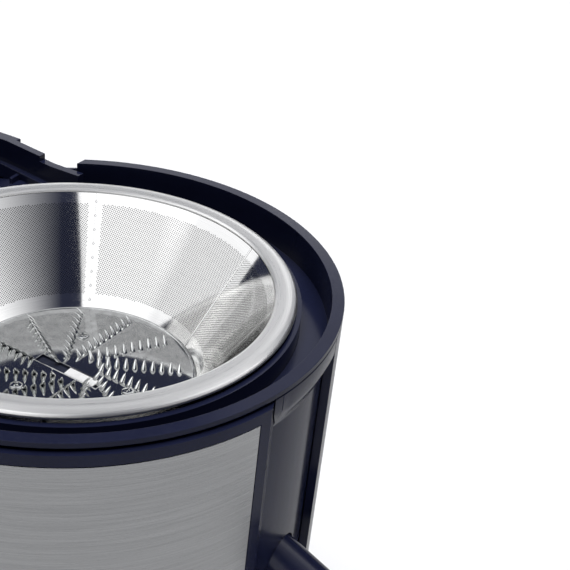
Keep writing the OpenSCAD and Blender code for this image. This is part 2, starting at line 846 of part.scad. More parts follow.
base_plate();
feet();
base_screws();
motor_housing();
motor_deck();
shaft_tower();
rear_cover();
panel_frame();
front_panel();
collar();
pulp_ring();
juice_bowl();
bowl_seal();
spout_tube();
drip_stop_pin();
shaft_seal();
stator_core();
field_coils();
lower_bracket();
upper_bracket();
lower_bearing();
upper_bearing();
brush_holders();
carbon_brushes();
brush_springs();
motor_screws();
mount_bushes();
mount_screws();
control_board();
suppressor();
speed_switch();
knob_bezel();
interlock_switch();
cable_gland();
latch_pins();
motor_shaft();
armature_core();
armature_windings();
commutator();
cooling_fan();
drive_coupling();
basket_rim();
sieve();
grater_disc();
grater_screws();
basket_hub();
knob_spindle();
speed_knob();
drip_stop();
pulp_container();
container_handle();
front_latch();
rear_latch();
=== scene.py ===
import json
import math

import bmesh
import bpy
import numpy as np
from mathutils import Matrix, Vector
from mathutils.geometry import delaunay_2d_cdt


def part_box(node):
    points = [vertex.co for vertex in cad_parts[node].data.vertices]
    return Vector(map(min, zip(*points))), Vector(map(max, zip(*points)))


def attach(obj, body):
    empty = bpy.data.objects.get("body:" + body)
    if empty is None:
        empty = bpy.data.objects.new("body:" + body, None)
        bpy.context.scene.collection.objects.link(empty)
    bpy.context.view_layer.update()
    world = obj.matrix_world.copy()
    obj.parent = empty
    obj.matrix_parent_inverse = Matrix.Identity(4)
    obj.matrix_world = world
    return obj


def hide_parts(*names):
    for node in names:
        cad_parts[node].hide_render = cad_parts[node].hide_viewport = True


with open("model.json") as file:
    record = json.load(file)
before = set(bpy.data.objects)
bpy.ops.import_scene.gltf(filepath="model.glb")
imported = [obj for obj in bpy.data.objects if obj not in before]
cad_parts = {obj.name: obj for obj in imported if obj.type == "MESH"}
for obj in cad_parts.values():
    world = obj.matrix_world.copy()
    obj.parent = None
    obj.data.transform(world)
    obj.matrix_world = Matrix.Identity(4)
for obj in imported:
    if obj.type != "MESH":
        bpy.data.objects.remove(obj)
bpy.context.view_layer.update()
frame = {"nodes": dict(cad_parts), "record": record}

# The rotor's axis and the rim's top are what most pieces are placed from.
MM = 0.001
RIM_LOW, RIM_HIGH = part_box("basket_rim")
AXIS = (RIM_LOW + RIM_HIGH) / 2
RIM_TOP = RIM_HIGH.z
RIM_R = (RIM_HIGH.x - RIM_LOW.x) / 2 / MM
BODY_OF = {node: body for body, nodes in frame["record"]["behaviour"]["bodies"].items() for node in nodes}
SLOT_OF = {part["node"]: part["material_slot"] for part in frame["record"]["subparts"]}


def place(x, y, height):
    """The point at x and y (mm) from the rotor's axis, at a height (mm) over the rim."""
    return Vector((AXIS.x + x * MM, AXIS.y + y * MM, RIM_TOP + height * MM))


def at(radius, angle, height):
    """The point at a radius (mm) and a plan angle (degrees) about the rotor's axis, height as in place()."""
    turn = math.radians(angle)
    return place(radius * math.cos(turn), radius * math.sin(turn), height)


# ---- Camera ----

CAMERA_SPOT = (197.1, -257.3, 191.0)
CAMERA_LENS = 69.5
CAMERA_HEADING = 25
CAMERA_TILT = 30.3
CAMERA_ROLL = 6.6


def make_camera():
    """A camera above the front right, turned from the machine's own axes and tilted down at the basket."""
    data = bpy.data.cameras.new("camera")
    data.lens = CAMERA_LENS
    data.sensor_width = 36
    camera = bpy.data.objects.new("camera", data)
    bpy.context.scene.collection.objects.link(camera)
    heading = Matrix.Rotation(math.radians(CAMERA_HEADING), 4, "Z")
    tilt = Matrix.Rotation(math.radians(90 - CAMERA_TILT), 4, "X")
    roll = Matrix.Rotation(math.radians(CAMERA_ROLL), 4, "Z")
    camera.matrix_world = Matrix.Translation(place(*CAMERA_SPOT)) @ heading @ tilt @ roll
    bpy.context.scene.camera = camera


# ---- Floor and light ----

FLOOR_REACH = 8
FLOOR_DROP = 0.0002
FLOOR_WHITE = 0.9
FLOOR_REFLECTED = 0.45
ROOM_REFLECTED = (0.026, 0.030, 0.056)
ROOM_SEEN = (0.95, 0.95, 0.95)

# Softboxes round the basket: name, azimuth and elevation (degrees), distance, width, height (metres), power
# (watts), and where across the width its light starts and ends to fade in.
SOFTBOXES = [
    ("left_softbox", -99, 34, 0.9, 1.15, 1.1, 5.6, (0.0, 0.3)),
    ("side_softbox", -152, 30, 0.9, 1.1, 1.0, 4.2, (1.0, 0.7)),
    ("right_softbox", 8, 32, 0.9, 1.3, 1.0, 7.0, (-0.07, 1.0)),
    ("back_softbox", 118, 13, 1.1, 1.1, 0.58, 2.4, None),
    ("ring_softbox", 99, 34, 1.1, 0.5, 0.4, 0.45, None),
    ("top_softbox", 127.5, 70, 0.8, 2.0, 0.75, 3.06, None),
]


def by_ray(tree, ray, usual, special):
    """A colour that is another one for rays of one kind."""
    seen = tree.nodes.new("ShaderNodeLightPath")
    mix = tree.nodes.new("ShaderNodeMix")
    mix.data_type = "RGBA"
    mix.inputs["A"].default_value = (*usual, 1)
    mix.inputs["B"].default_value = (*special, 1)
    tree.links.new(seen.outputs[ray], mix.inputs["Factor"])
    return mix.outputs["Result"]


def make_floor():
    """A plain white floor, which isn't part of the object. It is greyer in reflections, as if in shade."""
    mesh = bpy.data.meshes.new("floor")
    corners = [(-FLOOR_REACH, -FLOOR_REACH, 0), (FLOOR_REACH, -FLOOR_REACH, 0),
               (FLOOR_REACH, FLOOR_REACH, 0), (-FLOOR_REACH, FLOOR_REACH, 0)]
    mesh.from_pydata(corners, [], [(0, 1, 2, 3)])
    floor = bpy.data.objects.new("floor", mesh)
    bpy.context.scene.collection.objects.link(floor)
    floor.location.z = -FLOOR_DROP
    white = bpy.data.materials.new("floor_white")
    white.use_nodes = True
    tree = white.node_tree
    shader = tree.nodes["Principled BSDF"]
    colour = by_ray(tree, "Is Glossy Ray", [FLOOR_WHITE] * 3, [FLOOR_REFLECTED] * 3)
    tree.links.new(colour, shader.inputs["Base Color"])
    shader.inputs["Roughness"].default_value = 0.9
    shader.inputs["Specular IOR Level"].default_value = 0.1
    mesh.materials.append(white)


def fade_in(data, start, end):
    """Makes an area light fade in across its width."""
    data.use_nodes = True
    nodes, links = data.node_tree.nodes, data.node_tree.links
    where = nodes.new("ShaderNodeNewGeometry")
    split = nodes.new("ShaderNodeSeparateXYZ")
    fade = nodes.new("ShaderNodeMapRange")
    fade.interpolation_type = "SMOOTHSTEP"
    fade.inputs["From Min"].default_value = start
    fade.inputs["From Max"].default_value = end
    links.new(where.outputs["Parametric"], split.inputs[0])
    links.new(split.outputs["X"], fade.inputs["Value"])
    links.new(fade.outputs["Result"], nodes["Emission"].inputs["Strength"])


def softbox(name, azimuth, elevation, distance, width, height, power, fade):
    """An area light that faces the basket and shows only in reflections."""
    data = bpy.data.lights.new(name, "AREA")
    data.shape = "RECTANGLE"
    data.size = width
    data.size_y = height
    data.energy = power
    light = bpy.data.objects.new(name, data)
    bpy.context.scene.collection.objects.link(light)
    turn, rise = math.radians(azimuth), math.radians(elevation)
    away = Vector((math.cos(turn) * math.cos(rise), math.sin(turn) * math.cos(rise), math.sin(rise)))
    light.location = at(0, 0, 0) + away * distance
    light.rotation_euler = away.to_track_quat("Z", "Y").to_euler()
    light.visible_camera = False
    light.visible_diffuse = False
    if fade:
        fade_in(data, *fade)


def make_light():
    """Dark surroundings, softboxes for the reflections, and one wide lamp overhead for matt surfaces."""
    scene = bpy.context.scene
    scene.view_settings.view_transform = "Standard"
    world = bpy.data.worlds.new("studio")
    scene.world = world
    world.use_nodes = True
    tree = world.node_tree
    colour = by_ray(tree, "Is Camera Ray", ROOM_REFLECTED, ROOM_SEEN)
    tree.links.new(colour, tree.nodes["Background"].inputs["Color"])
    overhead = bpy.data.lights.new("overhead", "SUN")
    overhead.energy = 3.6
    overhead.angle = math.radians(50)
    lamp = bpy.data.objects.new("overhead", overhead)
    lamp.visible_glossy = False
    scene.collection.objects.link(lamp)
    for box in SOFTBOXES:
        softbox(*box)


# ---- Materials ----


class Finish:
    """A material under construction: one Principled shader and the patterns that drive it."""

    def __init__(self, name, colour, roughness, metallic=0.0):
        self.material = bpy.data.materials.new(name)
        self.material.use_nodes = True
        self.nodes = self.material.node_tree.nodes
        self.links = self.material.node_tree.links
        self.shader = self.nodes["Principled BSDF"]
        self.shader.inputs["Base Color"].default_value = (*colour, 1)
        self.shader.inputs["Roughness"].default_value = roughness
        self.shader.inputs["Metallic"].default_value = metallic
        self.where = self.nodes.new("ShaderNodeTexCoord").outputs["Object"]
        self.height = None

    def math(self, operation, a, b=None):
        """One operation on numbers or patterns."""
        node = self.nodes.new("ShaderNodeMath")
        node.operation = operation
        for socket, value in zip(node.inputs, (a, b)):
            if isinstance(value, (int, float)):
                socket.default_value = value
            elif value is not None:
                self.links.new(value, socket)
        return node.outputs[0]

    def turned(self, around, outwards, up):
        """The place in rings about the rotor's axis: along the ring, outwards and up, each stretched."""
        split = self.nodes.new("ShaderNodeSeparateXYZ")
        self.links.new(self.where, split.inputs[0])
        x = self.math("SUBTRACT", split.outputs["X"], AXIS.x)
        y = self.math("SUBTRACT", split.outputs["Y"], AXIS.y)
        square = self.math("ADD", self.math("MULTIPLY", x, x), self.math("MULTIPLY", y, y))
        radius = self.math("SQRT", square)
        join = self.nodes.new("ShaderNodeCombineXYZ")
        self.links.new(self.math("MULTIPLY", self.math("ARCTAN2", y, x), around), join.inputs["X"])
        self.links.new(self.math("MULTIPLY", radius, outwards), join.inputs["Y"])
        self.links.new(self.math("MULTIPLY", split.outputs["Z"], up), join.inputs["Z"])
        return join.outputs[0]

    def noise(self, scale, detail=3.0, where=None):
        """Fractal noise, at the place on the object unless another place is given."""
        node = self.nodes.new("ShaderNodeTexNoise")
        node.inputs["Scale"].default_value = scale
        node.inputs["Detail"].default_value = detail
        self.links.new(where or self.where, node.inputs["Vector"])
        return node.outputs["Fac"]

    def waves(self, scale, direction, distortion):
        """Parallel bands across the object."""
        node = self.nodes.new("ShaderNodeTexWave")
        node.bands_direction = direction
        node.inputs["Scale"].default_value = scale
        node.inputs["Distortion"].default_value = distortion
        self.links.new(self.where, node.inputs["Vector"])
        return node.outputs["Fac"]

    def between(self, pattern, low, high, start=0.35, end=0.65):
        """The pattern's middle part, from start to end, as a value from low to high."""
        node = self.nodes.new("ShaderNodeMapRange")
        node.inputs["From Min"].default_value = start
        node.inputs["From Max"].default_value = end
        node.inputs["To Min"].default_value = low
        node.inputs["To Max"].default_value = high
        self.links.new(pattern, node.inputs["Value"])
        return node.outputs["Result"]

    def vary_roughness(self, pattern, low, high):
        """Lets the roughness follow a pattern."""
        self.links.new(self.between(pattern, low, high), self.shader.inputs["Roughness"])
        return self

    def vary_colour(self, pattern, first, second, start=0.35, end=0.65):
        """Lets the colour follow a pattern's middle part."""
        node = self.nodes.new("ShaderNodeMix")
        node.data_type = "RGBA"
        node.inputs["A"].default_value = (*first, 1)
        node.inputs["B"].default_value = (*second, 1)
        self.links.new(self.between(pattern, 0, 1, start, end), node.inputs["Factor"])
        self.links.new(node.outputs["Result"], self.shader.inputs["Base Color"])
        return self

    def add_bump(self, pattern, depth):
        """Relief of about that depth in metres, on top of any other relief."""
        node = self.nodes.new("ShaderNodeBump")
        node.inputs["Strength"].default_value = 1.0
        node.inputs["Distance"].default_value = depth
        self.links.new(pattern, node.inputs["Height"])
        if self.height is not None:
            self.links.new(self.height, node.inputs["Normal"])
        self.height = node.outputs["Normal"]
        self.links.new(self.height, self.shader.inputs["Normal"])
        return self

    def set(self, **values):
        """Sets the shader's own values."""
        for name, value in values.items():
            self.shader.inputs[name.replace("_", " ")].default_value = value
        return self


def plastic(name, colour, lighter, roughness, grain):
    """Moulded plastic: uneven gloss, a faint mottle in its colour and a fine moulded grain."""
    finish = Finish(name, colour, roughness)
    finish.vary_colour(finish.noise(60, 4), colour, lighter)
    finish.vary_roughness(finish.noise(900, 6), roughness * 0.8, roughness * 1.3)
    finish.add_bump(finish.noise(2600, 2), grain)
    finish.set(Specular_IOR_Level=0.22)
    return finish


def steel(name, colour, roughness, around, outwards, up, depth):
    """Turned or drawn steel: fine lines along rings about the rotor's axis."""
    finish = Finish(name, colour, roughness, 1.0)
    lines = finish.noise(1, 5, finish.turned(around, outwards, up))
    finish.vary_roughness(lines, roughness * 0.75, roughness * 1.35)
    finish.vary_colour(lines, colour, tuple(c * 0.9 for c in colour))
    finish.add_bump(lines, depth)
    return finish


def plain_metal(name, colour, roughness, mottle, depth):
    """Cast, plated or sheet metal with a fine random grain."""
    finish = Finish(name, colour, roughness, 1.0)
    grain = finish.noise(mottle, 5)
    finish.vary_roughness(grain, roughness * 0.75, roughness * 1.35)
    finish.vary_colour(grain, colour, tuple(c * 0.85 for c in colour))
    finish.add_bump(grain, depth)
    return finish


def windings():
    """Enamelled copper wire laid side by side."""
    finish = Finish("copper", (0.60, 0.24, 0.09), 0.3, 1.0)
    wires = finish.waves(420, "DIAGONAL", 1.5)
    finish.vary_colour(wires, (0.34, 0.11, 0.04), (0.68, 0.29, 0.12), 0.1, 0.9)
    finish.vary_roughness(finish.noise(800), 0.22, 0.42)
    finish.add_bump(wires, 0.00025)
    return finish


def laminations():
    """A stack of thin iron sheets, with dark gaps between them."""
    finish = Finish("iron", (0.33, 0.33, 0.35), 0.42, 1.0)
    sheets = finish.waves(320, "Z", 0)
    finish.vary_colour(sheets, (0.12, 0.12, 0.13), (0.40, 0.40, 0.42), 0.05, 0.5)
    finish.vary_roughness(finish.noise(500), 0.35, 0.6)
    finish.add_bump(sheets, 0.00015)
    return finish


def circuit_board():
    """Green board with lighter copper tracks under its lacquer."""
    finish = Finish("board", (0.02, 0.13, 0.06), 0.35)
    tracks = finish.nodes.new("ShaderNodeTexVoronoi")
    tracks.distance = "CHEBYCHEV"
    tracks.feature = "F1"
    tracks.inputs["Scale"].default_value = 170
    finish.links.new(finish.where, tracks.inputs["Vector"])
    finish.vary_colour(tracks.outputs["Distance"], (0.02, 0.12, 0.05), (0.06, 0.26, 0.11), 0.42, 0.5)
    finish.add_bump(tracks.outputs["Distance"], 0.00005)
    return finish


def rubber():
    """Matt black rubber with an uneven skin."""
    finish = Finish("rubber", (0.018, 0.018, 0.019), 0.7)
    finish.vary_colour(finish.noise(300, 5), (0.014, 0.014, 0.015), (0.035, 0.035, 0.036))
    finish.vary_roughness(finish.noise(1200, 4), 0.6, 0.85)
    finish.add_bump(finish.noise(1800, 4), 0.00006)
    return finish


def brushed_panel():
    """Steel sheet brushed along the body's curve: long fine scratches of different depths."""
    finish = Finish("panel_steel", (0.45, 0.46, 0.47), 0.3, 1.0)
    fine = finish.noise(1, 6, finish.turned(7, 100, 9000))
    long = finish.noise(1, 3, finish.turned(2.5, 100, 2200))
    finish.vary_colour(long, (0.45, 0.455, 0.46), (0.53, 0.535, 0.54))
    finish.vary_roughness(fine, 0.24, 0.42)
    finish.add_bump(fine, 0.00004)
    finish.add_bump(long, 0.00003)
    return finish


NAVY = (0.0100, 0.0122, 0.0330)
FINISHES = {
    "navy_gloss": lambda: plastic("navy_gloss", NAVY, (0.0114, 0.0140, 0.0370), 0.16, 0.000004),
    "navy_satin": lambda: plastic(
        "navy_satin", (0.012, 0.014, 0.026), (0.018, 0.021, 0.036), 0.38, 0.00002),
    "panel_steel": brushed_panel,
    "rim_steel": lambda: steel("rim_steel", (0.84, 0.84, 0.83), 0.36, 3, 9000, 9000, 0.000003),
    "basket_steel": lambda: steel("basket_steel", (0.80, 0.80, 0.79), 0.08, 3, 9000, 9000, 0.000001),
    "grater_steel": lambda: plain_metal("grater_steel", (0.78, 0.79, 0.78), 0.07, 350, 0.000002),
    "grater_blade": lambda: plain_metal(
        "grater_blade", (0.95, 0.95, 0.94), 0.55, 350, 0.000002).set(Metallic=0.4),
    "dial_mark": lambda: plastic("dial_mark", (0.60, 0.62, 0.64), (0.68, 0.70, 0.72), 0.4, 0.00001),
    "zinc": lambda: plain_metal("zinc", (0.62, 0.63, 0.66), 0.28, 900, 0.00001),
    "shaft_steel": lambda: steel("shaft_steel", (0.70, 0.70, 0.71), 0.16, 3, 4000, 9000, 0.000004),
    "aluminium": lambda: plain_metal("aluminium", (0.62, 0.63, 0.64), 0.42, 700, 0.00006),
    "rubber": rubber,
    "iron": laminations,
    "copper": windings,
    "brass": lambda: plain_metal("brass", (0.74, 0.52, 0.20), 0.27, 800, 0.00001),
    "carbon": lambda: plastic("carbon", (0.02, 0.02, 0.021), (0.05, 0.05, 0.05), 0.55, 0.00004),
    "board": circuit_board,
    "film": lambda: plastic("film", (0.62, 0.42, 0.05), (0.70, 0.50, 0.09), 0.32, 0.00001),
    "switch_body": lambda: plastic("switch_body", (0.03, 0.03, 0.034), (0.045, 0.045, 0.05), 0.45, 0.00003),
}
made = {}


def finish_of(slot):
    """A finish's material, made when it is first asked for."""
    if slot not in made:
        made[slot] = FINISHES[slot]().material
    return made[slot]


# ---- Mesh helpers ----

# The corners of each side of a box whose upper four corners come first.
BOX_FACES = [(0, 1, 2, 3), (7, 6, 5, 4), (0, 4, 5, 1), (1, 5, 6, 2), (2, 6, 7, 3), (3, 7, 4, 0)]


def piece(name, mesh, node, replaced=(), smooth=30):
    """A finished piece on a CAD node's body, with its slot's material, smooth below that angle in degrees."""
    mesh.update()
    item = bpy.data.objects.new(name, mesh)
    bpy.context.scene.collection.objects.link(item)
    mesh.materials.clear()
    mesh.materials.append(finish_of(SLOT_OF[node]))
    mesh.shade_smooth()
    mesh.set_sharp_from_angle(angle=math.radians(smooth))
    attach(item, BODY_OF[node])
    if replaced:
        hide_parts(*replaced)
    return item


def turn_outwards(mesh):
    """Makes every face look outwards."""
    bm = bmesh.new()
    bm.from_mesh(mesh)
    bmesh.ops.recalc_face_normals(bm, faces=bm.faces)
    bm.to_mesh(mesh)
    bm.free()


def solid(name, vertices, faces, node, replaced=(), smooth=30):
    """A piece from its points and faces."""
    mesh = bpy.data.meshes.new(name)
    mesh.from_pydata(vertices, [], faces)
    turn_outwards(mesh)
    return piece(name, mesh, node, replaced, smooth)


def bands(rings, n, first=0):
    """The faces between each closed ring of n points and the next ring, counted from a first point."""
    faces = []
    for r in range(rings - 1):
        a, b = first + r * n, first + r * n + n
        faces += [(a + i, a + (i + 1) % n, b + (i + 1) % n, b + i) for i in range(n)]
    return faces


def caps(rings, n):
    """The faces that close the first and the last ring of n points."""
    return [tuple(range(n)), tuple(range(n * (rings - 1), n * rings))]


def boxes(name, matrices):
    """A mesh of unit cubes, each moved and stretched by its matrix."""
    bm = bmesh.new()
    for matrix in matrices:
        bmesh.ops.create_cube(bm, size=1, matrix=matrix)
    mesh = bpy.data.meshes.new(name)
    bm.to_mesh(mesh)
    bm.free()
    return mesh


def cut(item, cutting):
    """Takes a mesh out of a piece for good."""
    tool = bpy.data.objects.new(cutting.name, cutting)
    bpy.context.scene.collection.objects.link(tool)
    carve = item.modifiers.new("carve", "BOOLEAN")
    carve.operation = "DIFFERENCE"
    carve.object = tool
    carve.use_self = True
    shape = bpy.data.meshes.new_from_object(item.evaluated_get(bpy.context.evaluated_depsgraph_get()))
    item.modifiers.remove(carve)
    old, item.data = item.data, shape
    bpy.data.meshes.remove(old)
    bpy.data.objects.remove(tool)
    bpy.data.meshes.remove(cutting)


def softened(node, width):
    """A copy of a CAD node whose edges are rounded by that width in millimetres."""
    bm = bmesh.new()
    bm.from_mesh(frame["nodes"][node].data)
    bmesh.ops.remove_doubles(bm, verts=bm.verts, dist=0.002 * MM)
    bmesh.ops.dissolve_limit(bm, angle_limit=math.radians(0.4), use_dissolve_boundaries=False,
                             verts=bm.verts, edges=bm.edges)
    corner = math.radians(28)
    sharp = [edge for edge in bm.edges if len(edge.link_faces) == 2 and edge.calc_face_angle(0) > corner]
    bmesh.ops.bevel(bm, geom=sharp, offset=width * MM, segments=3, profile=0.5, affect="EDGES",
                    offset_type="OFFSET", clamp_overlap=True, loop_slide=True)
    mesh = bpy.data.meshes.new(node + "_soft")
    bm.to_mesh(mesh)
    bm.free()
    item = piece(node + "_soft", mesh, node, [node])
    weigh = item.modifiers.new("flat_faces", "WEIGHTED_NORMAL")
    weigh.keep_sharp = True


def fillet(outline, radius, steps=4):
    """A closed outline with its corners rounded. A corner may bring its own radius as a third number."""
    rounded = []
    count = len(outline)
    for i, corner in enumerate(outline):
        here = Vector(corner[:2])
        before = Vector(outline[i - 1][:2]) - here
        after = Vector(outline[(i + 1) % count][:2]) - here
        want = corner[2] if len(corner) > 2 else radius
        half = before.angle(after) / 2
        reach = min(want / math.tan(half), 0.48 * before.length, 0.48 * after.length)
        if reach < 0.01:
            rounded.append(tuple(here))
            continue
        actual = reach * math.tan(half)
        centre = here + (before.normalized() + after.normalized()).normalized() * (actual / math.sin(half))
        start = here + before.normalized() * reach - centre
        end = here + after.normalized() * reach - centre
        sweep = start.angle_signed(end)
        for k in range(steps + 1):
            turn = Matrix.Rotation(-sweep * k / steps, 2)
            rounded.append(tuple(centre + turn @ start))
    return rounded


def revolve(name, node, outline, start=0, end=360, segments=192, replaced=()):
    """A closed outline of (radius, height over the rim) turned about the rotor's axis, closed at its ends."""
    whole = end - start >= 360
    stops = segments if whole else segments + 1
    n = len(outline)
    vertices = [at(r, start + (end - start) * k / segments, h) for k in range(stops) for r, h in outline]
    faces = bands(stops, n)
    if whole:
        last = (stops - 1) * n
        faces += [(last + i, last + (i + 1) % n, (i + 1) % n, i) for i in range(n)]
    else:
        faces += caps(stops, n)
    return solid(name, vertices, faces, node, replaced)


# ---- Filter basket ----

LIP = 7.9
SHEET = 0.35
DISC_R = 42.2
DISC_DROP = 38.5
CONE_TOP = (RIM_R - LIP, -1.5)
CONE_LOW = (DISC_R, -DISC_DROP)

# The sieve's holes and the cells of the lattice that they sit in, whose half diagonal is CELL.
HOLE_PITCH = 0.7
HOLE_R = 0.23
HOLE_SIDES = 6
HOLE_CLEAR = 0.55
CELL = HOLE_PITCH / math.sqrt(2)
TOP_BAND = 4.2
LOW_BAND = 5.3

# Three welded bands, and a seam between each and the next, as plan angles and widths.
WELDS = 3
WELD_AT = 1
WELD_TURN = 360 / WELDS
WELD_BAND = 1.9
SEAM_TURN = 57
SEAM_GAP = 0.02
SEAM_WIDTH = 0.8
SEAM_LIFT = 0.3

# The weld spots up each band, placed by shares of the way up the sheet.
SPOTS = 8
FIRST_SPOT = 0.07
SPOT_STEP = 0.122


def basket_rim():
    """The rolled rim: a flat lip with a full roll at its outer edge and a tight turn down to the sieve."""
    inner = RIM_R - LIP
    outline = fillet([
        (inner, -1.5), (inner + 0.1, -0.75, 0.3), (inner + 0.9, -0.2, 0.8), (inner + 4.2, 0.0, 6),
        (RIM_R - 2.3, -0.2, 3), (RIM_R - 0.7, -0.9, 1.2), (RIM_R, -2.0, 0.8), (RIM_R - 0.5, -2.8, 0.5),
        (RIM_R - 1.6, -3.0, 0.5), (RIM_R - 2.2, -1.9, 0.4), (inner + 2, -1.5), (inner + 1.2, -1.7)], 0.3, 6)
    revolve("rim_roll", "basket_rim", outline, segments=320, replaced=["basket_rim"])


class Cone:
    """The sieve's cone and the flat sheet that it is rolled from."""

    def __init__(self):
        (top_r, top_h), (low_r, low_h) = CONE_TOP, CONE_LOW
        slant = math.hypot(top_r - low_r, top_h - low_h)
        self.sine = (top_r - low_r) / slant
        self.cosine = (top_h - low_h) / slant
        self.top = top_r / self.sine
        self.low = low_r / self.sine
        self.apex = top_h - self.top * self.cosine

    def bend(self, sheet, middle, depth):
        """Bends points of the flat sheet, whose middle line lies along +X, to the cone about a plan angle."""
        reach = np.hypot(sheet[:, 0], sheet[:, 1])
        plan = math.radians(middle) + np.arctan2(sheet[:, 1], sheet[:, 0]) / self.sine
        radius = (reach * self.sine + depth * self.cosine) * MM
        height = (self.apex + reach * self.cosine - depth * self.sine) * MM
        x, y = AXIS.x + radius * np.cos(plan), AXIS.y + radius * np.sin(plan)
        return np.stack([x, y, RIM_TOP + height], axis=1)

    def spot(self, angle, share, lift):
        """A point at a plan angle, a share of the way from foot to top, lifted off the sheet (mm)."""
        reach = self.low + (self.top - self.low) * share
        return Vector(self.bend(np.array([[reach, 0.0]]), angle, -lift)[0])


class Panel:
    """One bent sheet of the sieve between two plan angles, plain along its edges and full of holes inside."""

    def __init__(self, cone, start, end, plain_before, plain_after):
        self.cone = cone
        self.middle = (start + end) / 2
        self.half_turn = math.radians((end - start) / 2) * cone.sine - SEAM_GAP / cone.top
        self.turn_low = -self.half_turn + math.radians(plain_before) * cone.sine
        self.turn_high = self.half_turn - math.radians(plain_after) * cone.sine
        self.near, self.far = cone.low + LOW_BAND, cone.top - TOP_BAND
        self.centre = (self.near + self.far) / 2
        self.sheet, self.faces, self.rims = [], [], []
        self.corner_at = {}
        span = int((self.far - self.near) / CELL) + 25
        every = range(-span, span)
        self.cells = [(i, j) for i in every for j in every if self.holds(i, j)]
        self.holed = set(self.cells)

    def holds(self, i, j):
        """Whether a cell's hole keeps clear of the plain edges."""
        x, y = self.centre + (i + j) * CELL, (i - j) * CELL
        reach, turn = math.hypot(x, y), math.atan2(y, x)
        clear = HOLE_CLEAR / reach
        return self.near < reach < self.far and self.turn_low + clear < turn < self.turn_high - clear

    def corner(self, i, j):
        """The number of a corner of the lattice, which is made when it is first asked for."""
        if (i, j) not in self.corner_at:
            self.corner_at[i, j] = len(self.sheet)
            self.sheet.append((self.centre + (i + j - 1) * CELL, (i - j) * CELL))
        return self.corner_at[i, j]

    def punch(self):
        """Makes each cell of the lattice from six faces round its hole."""
        for i, j in self.cells:
            a, b, c, d = (self.corner(*key) for key in ((i + 1, j + 1), (i + 1, j), (i, j), (i, j + 1)))
            x, y = self.centre + (i + j) * CELL, (i - j) * CELL
            hole = [len(self.sheet) + k for k in range(HOLE_SIDES)]
            for k in range(HOLE_SIDES):
                turn = math.tau * k / HOLE_SIDES
                self.sheet.append((x + HOLE_R * math.cos(turn), y + HOLE_R * math.sin(turn)))
            self.faces += [(a, b, hole[1], hole[0]), (b, hole[2], hole[1]), (b, c, hole[3], hole[2]),
                           (c, d, hole[4], hole[3]), (d, hole[5], hole[4]), (d, a, hole[0], hole[5])]
            self.rims.append(hole)

    def border(self):
        """The edges of the holed cells that have a cell on one side only."""
        edges = []
        for i, j in self.cells:
            for (di, dj), a, b in (((1, 0), (i + 1, j), (i + 1, j + 1)), ((-1, 0), (i, j), (i, j + 1)),
                                   ((0, 1), (i, j + 1), (i + 1, j + 1)), ((0, -1), (i, j), (i + 1, j))):
                if (i + di, j + dj) not in self.holed:
                    edges.append((self.corner_at[a], self.corner_at[b]))
        return edges

    def arc(self, reach, low, high, stops=72):
        """Points on the flat sheet at one distance from the cone's tip."""
        turns = [low + (high - low) * k / stops for k in range(stops + 1)]
        return [(reach * math.cos(t), reach * math.sin(t)) for t in turns]

    def outline(self, stops=40):
        """The panel's outline on the flat sheet."""
        cone, half = self.cone, self.half_turn
        sides = [cone.low + (cone.top - cone.low) * k / stops for k in range(1, stops)]
        points = self.arc(cone.low, -half, half)
        points += [(reach * math.cos(half), reach * math.sin(half)) for reach in sides]
        points += self.arc(cone.top, half, -half)
        points += [(reach * math.cos(half), -reach * math.sin(half)) for reach in reversed(sides)]
        return points

    def margin(self):
        """Points spread over the plain edges, so that they bend smoothly."""
        cone, half = self.cone, self.half_turn * 0.99
        points = []
        for share in (0.3, 0.65):
            points += self.arc(cone.low + (self.near - cone.low) * share, -half, half)
            points += self.arc(cone.top - (cone.top - self.far) * share, -half, half)
        return points

    def is_plain(self, x, y):
        """Whether a point lies on the sheet, but not in a cell with a hole."""
        across, along = (x - self.centre) / CELL, y / CELL
        cell = (round((across + along) / 2), round((across - along) / 2))
        on_sheet = self.cone.low < math.hypot(x, y) < self.cone.top and abs(math.atan2(y, x)) < self.half_turn
        return on_sheet and cell not in self.holed

    def fill(self):
        """Fills the plain edges with triangles, from the holed cells' border to the panel's outline."""
        outline, margin, border = self.outline(), self.margin(), self.border()
        used = sorted({v for edge in border for v in edge})
        before = len(outline) + len(margin)
        place_of = {v: before + k for k, v in enumerate(used)}
        edges = [(k, (k + 1) % len(outline)) for k in range(len(outline))]
        edges += [(place_of[a], place_of[b]) for a, b in border]
        points = [Vector(p) for p in outline + margin + [self.sheet[v] for v in used]]
        flat, _, triangles, origin, _, _ = delaunay_2d_cdt(points, edges, [], 0, 1e-5)
        known = {k: v for v, k in place_of.items()}
        number = []
        for spot, sources in zip(flat, origin):
            if sources and sources[0] in known:
                number.append(known[sources[0]])
            else:
                number.append(len(self.sheet))
                self.sheet.append(tuple(spot))
        for triangle in triangles:
            if self.is_plain(*centroid(flat, triangle)):
                self.faces.append(tuple(number[k] for k in triangle))
        self.rims.append([number[k] for k in range(len(outline))])

    def build(self, name):
        """Bends the sheet to the cone, gives it a back and closes the walls of its holes and its edge."""
        self.punch()
        self.fill()
        flat = np.array(self.sheet)
        count = len(flat)
        front, back = (self.cone.bend(flat, self.middle, depth) for depth in (0.0, SHEET))
        faces = self.faces + [tuple(v + count for v in reversed(face)) for face in self.faces]
        for rim in self.rims:
            faces += [(a, b, b + count, a + count) for a, b in zip(rim, rim[1:] + rim[:1])]
        return solid(name, np.concatenate([front, back]).tolist(), faces, "sieve")


def centroid(points, corners):
    """The middle of a triangle of numbered points."""
    return (sum(points[k][0] for k in corners) / 3, sum(points[k][1] for k in corners) / 3)


